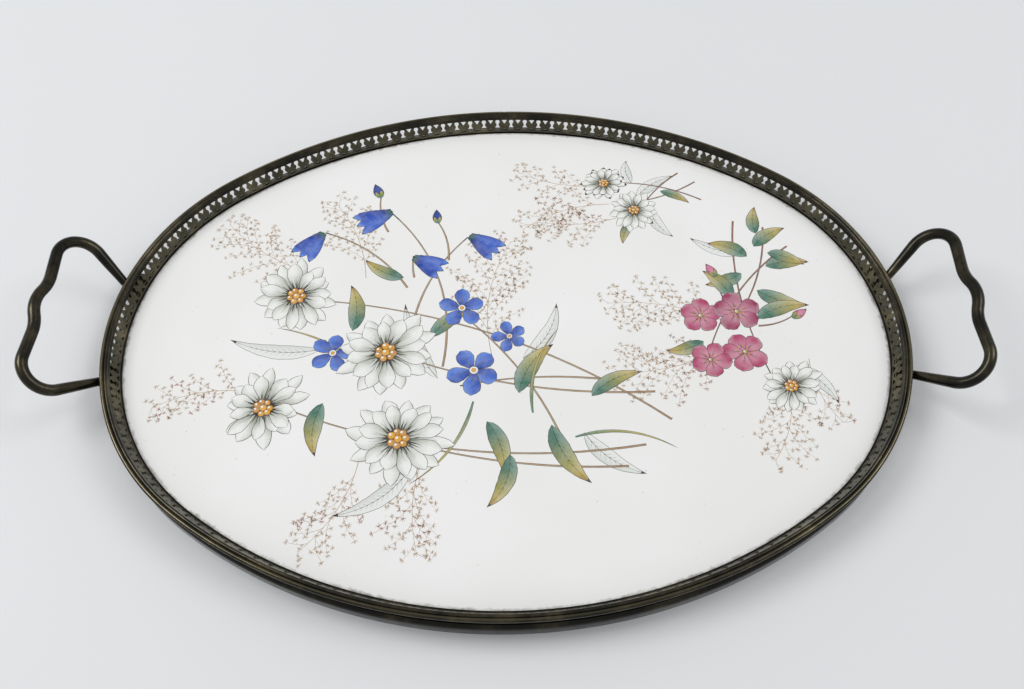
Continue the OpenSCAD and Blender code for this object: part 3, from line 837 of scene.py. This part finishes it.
class Print:
    """Strokes laid one over another, each a thin sheet with its colours in the ink attribute.

    On a stroke t runs from 0 to 1 along it, and s from -1 to 1 across it. A motif is drawn from the
    layer `level` up; `up` is a stroke's layer within its motif.
    """

    def __init__(self, seed):
        self.pages = []
        self.rng = random.Random(seed)
        self.top = top_of("plaque") + sizes().print_lift
        self.level = 0
        self.line = sizes().line / MM
        self.pen = tuple(colours().ink)
        self.sepia = tuple(colours().sepia)

    def page(self):
        """The bmesh that takes the next stroke; a full one is put by."""
        if not self.pages or len(self.pages[-1].verts) > PAGE_FULL:
            self.pages.append(bmesh.new())
            self.pages[-1].loops.layers.float_color.new("ink")
        return self.pages[-1]

    def height(self, up):
        """The height of a layer."""
        return self.top + (self.level + up) * STEP

    def lay(self, verts, tone_of):
        """Colours the faces of new vertices, corner by corner, and turns them up."""
        ink = self.pages[-1].loops.layers.float_color["ink"]
        for face in {face for vert in verts for face in vert.link_faces}:
            for loop in face.loops:
                loop[ink] = (*tone_of(face, loop.vert), 1)
            if face.normal.z < 0:
                face.normal_flip()

    def strip(self, spine, rows, columns, up, place):
        """A grid laid along a spine: place gives a reach along it and a distance beside it at (t, s)."""
        grid = bmesh.ops.create_grid(self.page(), x_segments=rows, y_segments=columns, size=1)["verts"]
        spot = {vert: ((vert.co.x + 1) / 2, vert.co.y) for vert in grid}
        for vert in grid:
            reach, aside = place(*spot[vert])
            point, way = along(spine, reach)
            flat = (point + way.orthogonal().normalized() * aside) * MM
            vert.co = (flat.x, flat.y, self.height(up))
        return spot

    def sheet(self, spine, half, fill, up=0, line=None, rows=8, notch=0.0, ragged=0.0):
        """One stroke: half gives its half width in mm at t, fill its colour at (t, s)."""
        line = self.line if line is None else line
        waves = [self.rng.uniform(-ragged, ragged) if ragged else 0 for k in range(2 * rows + 2)]

        def place(t, s):
            wide = max(half(t), 0.0) * (1 + waves[round(t * rows) + (rows + 1) * (s > 0)])
            aside = math.copysign(wide, s) if abs(s) > 0.9 else s * 1.5 * max(wide - line, 0.0)
            return t * (1 - notch * (1 - abs(s)) ** 2 * t ** 6), aside

        def tone_of(face, vert):
            share, side = (sum(spot[corner][k] for corner in face.verts) / 4 for k in (0, 1))
            at_tip = share > 1 - 0.6 / rows and half(share) < 3 * line
            return self.pen if abs(side) > 0.7 or at_tip else fill(*spot[vert])

        spot = self.strip(spine, rows, 6, up, place)
        self.lay(spot, tone_of)

    def thread(self, spine, wide, tone, end_wide=None, up=LINE_UP, rows=6):
        """A plain line of one colour that may taper."""
        end_wide = wide if end_wide is None else end_wide
        spot = self.strip(spine, rows, 1, up, lambda t, s: (t, s * (wide + (end_wide - wide) * t) / 2))
        self.lay(spot, lambda face, vert: tone)

    def ball(self, centre, radius, tone, glint=None, pen=None, up=0):
        """A round dab with a pen line round it and a glint."""
        bm = self.page()
        disc = self.disc(bm, centre, radius, up)
        line = min(0.2, 0.5 * radius) * MM
        rim = bmesh.ops.inset_individual(bm, faces=disc[0].link_faces[:], thickness=line)["faces"]
        verts = {vert for face in rim for vert in face.verts}
        self.lay(verts, lambda face, vert: (pen or self.pen) if face in rim else tone)
        if glint:
            lit = Vector(centre) + Vector((-0.3, 0.3)) * radius
            self.lay(self.disc(bm, lit, 0.34 * radius, up + LINE_UP), lambda face, vert: glint)

    def disc(self, bm, centre, radius, up):
        """A flat disc; returns its vertices."""
        spot = Matrix.Translation((centre[0] * MM, centre[1] * MM, self.height(up)))
        made = bmesh.ops.create_circle(bm, cap_ends=True, segments=12, radius=radius * MM, matrix=spot)
        return made["verts"]

    def stem(self, start, end, bow, wide=0.9, tone=STALK):
        """A stem with a pen line down each side, darker along its lower side and at its cut end."""

        def fill(t, s):
            return blend(blend(tone, WHITE, 0.45 * s), TWIG, 0.35 - 1.5 * t)

        self.sheet(curve(start, end, bow), lambda t: wide * (0.60 - 0.25 * t), fill, line=0.17, rows=18,
                   ragged=0.07)

    def leaf(self, start, heading, reach, wide, bow, pale=False):
        """A pointed leaf with its veins, shaded from its base to its tip, or pale with a little shading."""
        spine = ray(start, heading, reach, bow)

        def fill(t, s):
            if pale:
                return blend(blend(WHITE, MIST, 0.8 * max(0, -s) + 0.2), RUST, (t - 0.88) * 4)
            tone = blend(blend(TEAL, OLIVE, (t - 0.22) * 1.7), RUST, (t - 0.76) * 2.8)
            tone = blend(tone, WHITE, 0.30 * max(0, s) + 0.10 * max(0, 0.5 - abs(s)))
            return blend(tone, DARK, 0.30 * max(0, -s))

        line, ragged = (0.18, 0.05) if pale else (self.line, 0.04)
        self.sheet(spine, lambda t: wide / 2 * lance(t), fill, line=line, rows=14, ragged=ragged)
        self.thread(spine, 0.24, self.pen, 0.12, 0.7, rows=10)
        pairs = max(2, round(reach / 4))
        for k in range(pairs):
            t = 0.14 + 0.66 * k / pairs
            point, way = along(spine, t)
            length = 0.44 * wide * lance(min(0.98, t + 0.12))
            for side in (-1, 1):
                vein = ray(point, bearing(way) + side * 36, length, -0.08 * side)
                self.thread(vein, 0.13, self.pen, 0.06, 0.4, rows=3)

    def petal(self, start, heading, reach, wide, shape, fill, up, notch, bow=0.0, lines=3, deep=0.6):
        """One petal and the fine lines in it."""
        spine = ray(start, heading, reach, bow)
        self.sheet(spine, lambda t: wide / 2 * shape(t), fill, up, rows=9, notch=notch, ragged=0.06)
        root = off(start, heading, reach * 0.2)
        tone = blend(self.pen, SHADE, 0.35)
        for k in range(lines):
            lane = (k + 0.5) / lines - 0.5
            line = ray(root, heading + lane * 24, reach * self.rng.uniform(0.5 * deep, deep), 0.03)
            self.thread(line, 0.14, tone, 0.05, up + LINE_UP, rows=3)

    def corolla(self, centre, across, turn, jitter, wide, fill_of, **shared):
        """Five round petals; fill_of gives a petal's colour at (t, s), with s towards its lit side."""
        for k in range(5):
            heading = turn + 72 * k + self.rng.uniform(-jitter, jitter)
            lit = self.rng.choice((-1, 1))
            reach = across * 0.5 * self.rng.uniform(0.92, 1.06)
            self.petal(centre, heading, reach, across * wide, round_petal,
                       lambda t, s: fill_of(t, s * lit), k, **shared)

    def daisy(self, centre, across, petals, turn, squash, lean):
        """An ox-eye daisy: long white petals with grey-green shading round a golden centre."""
        for layer in (1, 0):
            for k in range(petals):
                heading = turn + 360 * (k + 0.5 * layer) / petals + self.rng.uniform(-6, 6)
                a = math.radians(heading - lean)
                stretch = math.hypot(math.cos(a), math.sin(a) * squash) * self.rng.uniform(0.86, 1.06)
                reach = across * (0.52 if layer else 0.44) * stretch
                wide = across * 0.15 * self.rng.uniform(0.9, 1.15)
                lit = self.rng.choice((-1, 1))

                def fill(t, s):
                    deep = 0.75 + 0.35 * layer
                    shade = deep * max(0, 1 - t * 1.5) + 0.75 * max(0, s * lit) * (1 - 0.4 * t)
                    return blend(blend(WHITE, SHADE, shade), DARK, (2.0 + layer) * (0.24 - t))

                begin = off(centre, heading, across * 0.06)
                up = 3 * (1 - layer) + (2 if k == petals - 1 else k % 2)
                self.petal(begin, heading, reach - across * 0.06, wide, long_petal, fill, up, 0.05,
                           self.rng.uniform(-0.07, 0.07), deep=0.46)
        for k in range(2 * petals):
            a = turn + 180 * (k + 0.5) / petals + self.rng.uniform(-5, 5)
            hair = ray(off(centre, a, across * 0.09), a, across * self.rng.uniform(0.05, 0.14))
            self.thread(hair, across * 0.022, DARK, 0.05, 6, rows=3)
        self.ball(centre, across * 0.112, DARK, up=7)
        for k in range(7):  # golden balls; neighbours lie on different layers
            place = off(centre, 360 * k / 7 + self.rng.uniform(-8, 8), across * 0.072)
            tone = blend(GOLD, AMBER, self.rng.uniform(0, 0.45))
            radius = across * 0.036 * self.rng.uniform(0.88, 1.1)
            self.ball(place, radius, tone, WHITE, AMBER, 8 + (2 if k == 6 else k % 2))
        self.ball(centre, across * 0.036 * 1.1, GOLD, WHITE, AMBER, 11)

    def rose(self, centre, across, turn, tone=PINK):
        """A wild rose: five broad notched petals, pale towards the middle."""

        def fill(t, s):
            body = blend(BLUSH, tone, (t - 0.1) * 1.3 + 0.35 * abs(s))
            body = blend(body, WHITE, 0.42 * max(0, s) * t)
            return blend(body, WINE, 0.55 * max(0, -s) * (1 - t) + 1.6 * (0.3 - t))

        self.corolla(centre, across, turn, 6, 0.48, fill, notch=0.14, lines=5)
        for k in range(11):
            heading = turn + 360 * k / 11 + self.rng.uniform(-6, 6)
            spine = ray(centre, heading, across * self.rng.uniform(0.10, 0.17))
            self.thread(spine, 0.16, WINE, up=5, rows=2)
            self.ball(spine[3], across * 0.017 + 0.12, GOLD, pen=AMBER, up=6)
        self.ball(centre, across * 0.055, OLIVE, WHITE, up=7)

    def blue_star(self, centre, across, turn):
        """A small blue flower of five rounded petals with a white eye."""

        def fill(t, s):
            body = blend(blend(BLUE, SKY, 0.8 * max(0, s) + 0.4 * t), NAVY, 0.45 * max(0, -s))
            return blend(body, NAVY, 1.8 * (0.36 - t))

        self.corolla(centre, across, turn, 5, 0.37, fill, notch=0.05, lines=4)
        self.ball(centre, across * 0.085, WHITE, pen=NAVY, up=5)
        self.ball(centre, across * 0.045, GOLD, pen=AMBER, up=6)

    def harebell(self, top, heading, reach):
        """A nodding bell with three lobes in sight."""
        spine = ray(top, heading, reach, 0.02)
        aside = heading_way(heading).orthogonal()

        def bell(t):
            return reach * (0.12 + 0.25 * math.sin(min(1, t * 1.15) * math.pi / 2) ** 1.2 + 0.05 * t ** 4)

        def body(t, s):
            lit = blend(blend(NAVY, BLUE, 0.25 + 1.5 * t), SKY, 0.75 * max(0, 0.7 - abs(s - 0.25) * 2.2))
            return blend(lit, NAVY, 0.5 * max(0, -s))

        for turn in (-20, 20, 0):
            root = along(spine, 0.84)[0] + aside * turn / 20 * reach * 0.25
            self.sheet(ray(root, heading + turn, reach * 0.30), lambda t: reach * 0.15 * (1 - t ** 1.6),
                       lambda t, s: blend(BLUE, SKY, t + 0.3 * s), int(turn == 0), line=0.2, rows=5)
        self.sheet([along(spine, k / 3 * 0.9)[0] for k in range(4)], bell, body, 2, line=0.2, rows=9)
        for lane in (-0.5, 0, 0.5):
            root = along(spine, 0.18)[0] + aside * lane * reach * 0.28
            self.thread(ray(root, heading + lane * 22, reach * 0.62), 0.16, NAVY, 0.06, 2 + LINE_UP, rows=4)
        for k, turn in enumerate((-48, -18, 18, 48)):
            self.sheet(ray(top, heading + turn, reach * 0.32, 0.05), lambda t: 0.55 * (1 - t),
                       lambda t, s: TEAL, 3 + k % 2, line=0.14, rows=4)

    def bud(self, start, heading, reach, tone, deep):
        """A closed bud in its calyx."""
        spine = ray(start, heading, reach)
        self.sheet(spine, lambda t: reach * 0.26 * lance(t),
                   lambda t, s: blend(tone, deep, 0.8 * abs(s) + 0.4 * t), line=0.18)
        self.thread(spine, 0.18, deep, 0.06)
        for up, turn in ((1, -16), (2, 16)):
            sepal = ray(start, heading + turn, reach * 0.55, turn / 200)
            self.sheet(sepal, lambda t: reach * 0.11 * lance(t), lambda t, s: blend(TEAL, OLIVE, t), up,
                       line=0.16, rows=6)

    def star(self, centre, aim, tone, reach):
        """A tiny floret: short strokes that fan out round a point."""
        for k in range(5):
            heading = aim + (k - 2) * 44 + self.rng.uniform(-12, 12)
            stroke = ray(off(centre, heading, 0.22), heading, reach * self.rng.uniform(0.6, 1.1))
            self.thread(stroke, 0.40, tone, 0.10, 1.5, rows=1)

    def plume(self, start, heading, reach, bow, rusty):
        """A feathery grass: a fan of branches and twigs with tiny florets."""
        spine = ray(start, heading, reach, bow)
        self.thread(spine, 0.30, self.sepia, 0.14, 1, rows=14)
        branches = round(reach / 4.4)
        for k in range(branches):
            t = 0.14 + 0.84 * k / (branches - 1)
            point, way = along(spine, t)
            side = 1 if k % 2 else -1
            length = reach * 0.37 * math.sin(math.pi * (0.28 + 0.66 * t)) * self.rng.uniform(0.8, 1.15)
            branch = ray(point, bearing(way) + side * self.rng.uniform(30, 52), length, -0.10 * side)
            self.thread(branch, 0.16, self.sepia, 0.10, 0.5)
            twigs = max(2, round(length / 2.1))
            rust = self.rng.random() < rusty
            for j in range(1, twigs + 1):
                place, on = along(branch, j / twigs)
                fork = 0 if j == twigs else (1 if j % 2 else -1) * self.rng.uniform(30, 58)
                tone = blend(RUST if rust and j > 1 else self.sepia, WHITE, self.rng.uniform(0.0, 0.3))
                twig = ray(place, bearing(on) + fork, self.rng.uniform(1.4, 3.0), 0.08)
                self.thread(twig, 0.14, tone, 0.10, 0, rows=2)
                self.star(twig[3], bearing(twig[3] - twig[0]), tone, 1.4)
                if self.rng.random() < 0.5:
                    self.star(twig[1], bearing(on) - fork, tone, 0.9)

    def grass(self, start, heading, reach, bow):
        """A narrow blade of grass."""
        self.sheet(ray(start, heading, reach, bow), lambda t: 0.95 * (1 - t) ** 0.7 * min(1, 0.4 + 3 * t),
                   lambda t, s: blend(blend(TEAL, OLIVE, 1.4 * t), WHITE, 0.3 * max(0, s)),
                   line=0.17, rows=14)

    def each(self, draw, layers, apart, rows, **shared):
        """Draws a motif for each row of its arguments and goes on above them.

        A motif takes some layers; those that lie apart from each other share them.
        """
        ground = self.level
        for k, row in enumerate(rows):
            self.level = ground + (0 if apart else k * layers)
            draw(*row, **shared)
        self.level += layers

    def piece(self, name, material):
        """Hands the strokes over as one piece."""
        whole = self.pages[0]
        for page in self.pages[1:]:
            mesh = mesh_of(page, "page")
            whole.from_mesh(mesh)
            bpy.data.meshes.remove(mesh)
        hand_over(whole, name, material, "glazed_earthenware")


def large_spray(material):
    """Oxeye daisies, harebells and blue stars on crossing stems, left of the middle."""
    p = Print(sizes().seed)
    p.each(p.plume, 2, True, (
        ((-88, 36), 146, 58, 0.10, 0.12), ((-112, -28), 190, 44, -0.12, 0.25),
        ((-62, -62), 242, 46, 0.12, 0.20), ((-34, -58), 268, 46, -0.10, 0.30),
        ((-6, -10), 82, 66, 0.12, 0.15), ((-66, 34), 112, 52, -0.10, 0.08)))
    p.each(p.leaf, 1, False, (
        ((-30, -22), 112, 44, 7.5, 0.10), ((34, -50), 322, 32, 7.5, -0.14), ((-84, -6), 172, 42, 7.5, 0.12),
        ((-40, -66), 214, 38, 7.5, 0.16), ((8, -12), 62, 34, 7.5, -0.16)), pale=True)
    p.each(p.stem, 1, False, (
        ((66, -30), (-56, -6), 0.08), ((72, -44), (-94, 22), -0.10), ((52, -66), (-48, -52), 0.06),
        ((60, -56), (-102, -34), 0.10), ((30, -70), (-22, 14), -0.10), ((48, -24), (-20, -26), -0.06),
        ((-28, -16), (-56, 74), -0.16), ((-42, 10), (-18, 58), 0.10), ((-46, 28), (-88, 62), -0.12),
        ((-57, 62), (-62, 85), 0.10), ((-27, 44), (-33, 68), -0.10), ((-43, 34), (-44, 47), 0.05)))
    p.each(p.leaf, 1, False, (
        ((6, -30), 58, 30, 9, 0.14), ((20, -46), 300, 32, 8.5, -0.12), ((-8, -44), 286, 28, 8, 0.12),
        ((-34, 0), 40, 24, 7.5, 0.10), ((-48, 34), 150, 22, 7, 0.12), ((-70, 4), 96, 26, 8, -0.12),
        ((38, -32), 28, 26, 7.5, 0.14), ((-80, -34), 268, 26, 8, -0.14), ((2, -60), 248, 26, 7.5, 0.16)))
    p.each(p.grass, 1, False, (
        ((12, -40), 74, 46, 0.14), ((-14, -34), 236, 48, 0.14), ((-60, -20), 150, 52, -0.12),
        ((30, -52), 352, 44, 0.16)))
    p.each(p.bud, 3, True, (((-62, 84), 112, 10, BLUE, NAVY), ((-33, 67), 96, 9, BLUE, NAVY)))
    p.each(p.harebell, 5, True, (
        ((-56, 75), 208, 17), ((-17, 59), 322, 16), ((-89, 62), 236, 16), ((-44, 46), 330, 15)))
    p.each(p.blue_star, 7, True, (
        ((-20, 16), 22, 20), ((-14, -18), 25, 50), ((-78, -8), 21, 5), ((2, 0), 17, 35)))
    p.each(p.daisy, 12, True, (
        ((-98, 24), 44, 11, 6, 0.80, 120), ((-54, -8), 47, 12, 12, 0.92, 30),
        ((-106, -36), 42, 11, 0, 0.78, 60), ((-46, -52), 46, 12, 9, 0.86, 150)))
    p.piece("large_spray", material)


def middle_spray(material):
    """Pink wild roses with leaves, a small daisy and grasses, towards the right end."""
    p = Print(sizes().seed + 1)
    p.each(p.plume, 2, True, (
        ((102, 6), 168, 56, -0.10, 0.12), ((106, -4), 196, 60, 0.10, 0.22), ((124, -22), 256, 44, 0.14, 0.20),
        ((136, -14), 286, 34, -0.12, 0.30)))
    p.each(p.leaf, 1, False, (((128, -18), 312, 26, 7, 0.16), ((114, 46), 158, 26, 6.5, 0.12)), pale=True)
    p.each(p.stem, 1, False, (
        ((126, 62), (102, 2), 0.10), ((112, 66), (118, -22), -0.08), ((136, 50), (92, -10), -0.10),
        ((104, 14), (100, 33), 0.08), ((116, 4), (132, 9), -0.10)), wide=0.8, tone=TWIG)
    p.each(p.leaf, 1, False, (
        ((120, 50), 34, 20, 7.5, 0.12), ((116, 44), 156, 20, 8, -0.12), ((124, 38), 6, 21, 8, 0.10),
        ((112, 34), 200, 19, 7.5, 0.10), ((118, 24), 338, 24, 8.5, -0.10), ((122, 58), 84, 17, 6.5, 0.10),
        ((106, 20), 128, 20, 8, -0.12), ((116, 8), 16, 26, 8, 0.14), ((90, -4), 196, 18, 7, 0.12),
        ((126, 46), 336, 18, 7, 0.08)))
    p.each(p.bud, 3, True, (((100, 32), 118, 9, BLUSH, PINK), ((132, 8), 34, 9, BLUSH, PINK)))
    p.each(p.daisy, 12, False, (((126, -28), 30, 11, 8, 0.82, 40),))
    p.each(p.rose, 8, True, (((90, 10), 20, 12), ((108, -10), 21, 40)))
    p.each(p.rose, 8, True, (((92, -14), 19, 60), ((107, 12), 22, 26, ROSE)))
    p.piece("middle_spray", material)


def small_spray(material):
    """Two small daisies with pale leaves and grasses, at the far side."""
    p = Print(sizes().seed + 2)
    p.each(p.plume, 2, True, (
        ((52, 78), 200, 46, -0.12, 0.15), ((58, 70), 184, 42, 0.10, 0.25), ((46, 90), 166, 40, 0.10, 0.12)))
    p.each(p.leaf, 1, False, (
        ((66, 82), 36, 24, 6.5, 0.12), ((72, 74), 300, 20, 6.5, -0.14), ((64, 92), 96, 15, 5.5, 0.14)),
        pale=True)
    p.each(p.stem, 1, False, (
        ((96, 92), (54, 78), 0.10), ((98, 80), (52, 92), -0.10), ((88, 98), (66, 72), -0.08)),
        wide=0.7, tone=TWIG)
    p.each(p.leaf, 1, False, (((78, 86), 330, 16, 5, 0.1), ((62, 66), 250, 14, 5, -0.1)))
    p.each(p.daisy, 12, True, (((50, 92), 25, 11, 4, 0.82, 20), ((64, 74), 27, 11, 10, 0.9, 100)))
    p.piece("small_spray", material)


def build_print():
    """The three sprays of the print."""
    material = printed_colour()
    for spray in (large_spray, middle_spray, small_spray):
        spray(material)


# ---- stage

FLOOR_HALF = 4.0  # half the side of the floor, in metres
FLOOR_DROP = 0.05 * MM  # the floor's gap under the foot
LAMPS = {"left_light": ((-1.05, 0.20, 1.32), 12.0), "right_light": ((1.05, 0.20, 1.32), 7.0)}  # place, watts
LAMP_SIZE = 0.9
ROOM_COLOUR = (0.97, 0.98, 1.0, 1)
ROOM_STRENGTH = 0.56
CAMERA_PLACE = Vector((6.85, -250.9, 389.1)) * MM
CAMERA_LENS = 35.16
CAMERA_DOWN, CAMERA_YAW, CAMERA_ROLL = math.radians(57.12), math.radians(-0.86), math.radians(-1.43)


def build_stage(scene):
    """A plain pale floor, soft light from above and the camera."""
    bm = bmesh.new()
    bmesh.ops.create_grid(bm, x_segments=1, y_segments=1, size=FLOOR_HALF)
    floor = bpy.data.objects.new("floor", mesh_of(bm, "floor"))
    floor.data.materials.append(pale_floor())
    floor.location.z = -FLOOR_DROP
    lamps = []
    for name, (place, power) in LAMPS.items():
        data = bpy.data.lights.new(name, "AREA")
        data.shape = "DISK"
        data.size = LAMP_SIZE
        data.energy = power
        lamp = bpy.data.objects.new(name, data)
        lamp.location = place
        lamp.rotation_mode = "QUATERNION"
        lamp.rotation_quaternion = Vector(place).to_track_quat("Z", "Y")
        lamps.append(lamp)
    scene.world = bpy.data.worlds.new("soft_room")
    scene.world.use_nodes = True
    room = scene.world.node_tree.nodes["Background"].inputs
    room["Color"].default_value = ROOM_COLOUR
    room["Strength"].default_value = ROOM_STRENGTH
    scene.view_settings.view_transform = "Standard"

    lens = bpy.data.cameras.new("front_camera")
    lens.lens = CAMERA_LENS
    lens.sensor_width = 36
    lens.clip_start = 10 * MM
    camera = bpy.data.objects.new("front_camera", lens)
    level, yaw, roll = math.cos(CAMERA_DOWN), CAMERA_YAW, CAMERA_ROLL
    ahead = Vector((math.sin(yaw) * level, math.cos(yaw) * level, -math.sin(CAMERA_DOWN)))
    right = Vector((math.cos(yaw), -math.sin(yaw), 0))
    up = right.cross(ahead)
    right, up = right * math.cos(roll) + up * math.sin(roll), up * math.cos(roll) - right * math.sin(roll)
    turned = Matrix((right, up, -ahead)).transposed().to_4x4()
    camera.matrix_world = Matrix.Translation(CAMERA_PLACE) @ turned
    for thing in (floor, camera, *lamps):
        scene.collection.objects.link(thing)
    scene.camera = camera


# ---- operators and panel


class TRAY_OT_plaque(bpy.types.Operator):
    """Makes the glazed white plaque"""

    bl_idname = "tray.plaque"
    bl_label = "Plaque"

    def execute(self, context):
        build_plaque()
        return {"FINISHED"}


class TRAY_OT_moulding(bpy.types.Operator):
    """Makes the base moulding that holds the plaque"""

    bl_idname = "tray.moulding"
    bl_label = "Base Moulding"

    def execute(self, context):
        build_moulding()
        return {"FINISHED"}


class TRAY_OT_gallery(bpy.types.Operator):
    """Makes the leaning pierced gallery"""

    bl_idname = "tray.gallery"
    bl_label = "Gallery"

    def execute(self, context):
        build_gallery()
        return {"FINISHED"}


class TRAY_OT_rim(bpy.types.Operator):
    """Makes the double-bead rim with its seam"""

    bl_idname = "tray.rim"
    bl_label = "Rim"

    def execute(self, context):
        build_rim()
        return {"FINISHED"}


class TRAY_OT_handles(bpy.types.Operator):
    """Makes the two bent-rod handles"""

    bl_idname = "tray.handles"
    bl_label = "Handles"

    def execute(self, context):
        build_handles()
        return {"FINISHED"}


class TRAY_OT_fittings(bpy.types.Operator):
    """Gives the sockets, the lugs and the backing board their finishes"""

    bl_idname = "tray.fittings"
    bl_label = "Sockets, Lugs and Board"

    def execute(self, context):
        build_fittings()
        return {"FINISHED"}


class TRAY_OT_print(bpy.types.Operator):
    """Lays the three printed sprays on the plaque"""

    bl_idname = "tray.print"
    bl_label = "Print"

    def execute(self, context):
        build_print()
        return {"FINISHED"}


class TRAY_OT_stage(bpy.types.Operator):
    """Makes the floor, the lights and the camera"""

    bl_idname = "tray.stage"
    bl_label = "Stage"

    def execute(self, context):
        build_stage(context.scene)
        return {"FINISHED"}


OPERATORS = (TRAY_OT_plaque, TRAY_OT_moulding, TRAY_OT_gallery, TRAY_OT_rim, TRAY_OT_handles,
             TRAY_OT_fittings, TRAY_OT_print, TRAY_OT_stage)


class TRAY_PT_panel(bpy.types.Panel):
    """The tray's sizes, colours and pieces"""

    bl_idname = "TRAY_PT_panel"
    bl_label = "Oval Gallery Tray"
    bl_space_type = "VIEW_3D"
    bl_region_type = "UI"
    bl_category = "Gallery Tray"

    def draw(self, context):
        for operator in OPERATORS:
            self.layout.operator(operator.bl_idname)
        for group in (sizes(), colours()):
            box = self.layout.box()
            for name in type(group).__annotations__:
                box.prop(group, name)


CLASSES = (TraySizes, TrayColours, *OPERATORS, TRAY_PT_panel)


def register():
    for each in CLASSES:
        bpy.utils.register_class(each)
    bpy.types.Scene.tray_sizes = PointerProperty(type=TraySizes)
    bpy.types.Scene.tray_colours = PointerProperty(type=TrayColours)


def unregister():
    del bpy.types.Scene.tray_colours
    del bpy.types.Scene.tray_sizes
    for each in reversed(CLASSES):
        bpy.utils.unregister_class(each)


def main():
    """Makes every piece in turn."""
    register()
    for operator in OPERATORS:
        name = operator.bl_idname.split(".")[1]
        getattr(bpy.ops.tray, name)()


if __name__ == "__main__":
    main()
